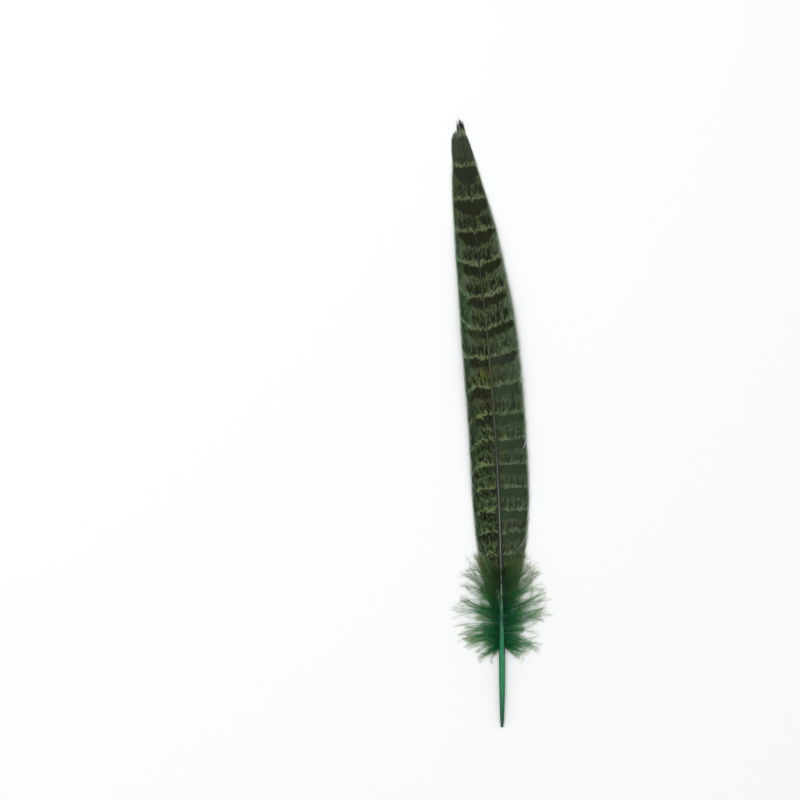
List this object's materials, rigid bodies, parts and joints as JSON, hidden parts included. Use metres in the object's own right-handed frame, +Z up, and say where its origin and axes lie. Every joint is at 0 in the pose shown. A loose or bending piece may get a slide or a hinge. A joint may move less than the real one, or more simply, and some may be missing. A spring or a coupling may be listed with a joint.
{
  "type": "pheasant tail feather",
  "caption": "Long narrow barred tail feather lying flat: tapering shaft, two vanes of zipped barbs and downy barbs above the bare quill.",
  "frame": {"origin": "under the middle of the whole feather, on the surface that it lies on", "axes": "+Y along the feather's chord from the quill's end to the tip, +X to the right seen from above with the quill nearest, +Z up out of its upper side"},
  "size_m": [0.049, 0.303, 0.0054],
  "materials": {
    "keratin_shaft": "smooth horny keratin, satin to glossy, dyed green at the quill, slate grey among the vanes",
    "barred_vane": "zipped barbs with a soft silky lie, olive green with dark brown bars and mottling",
    "green_down": "loose matt down, green at the roots and paler at the wispy tips"
  },
  "bodies": {
    "root": {"shaft": "keratin_shaft", "left_vane": "barred_vane", "right_vane": "barred_vane", "left_down": "green_down", "right_down": "green_down"}
  },
  "joints": []
}
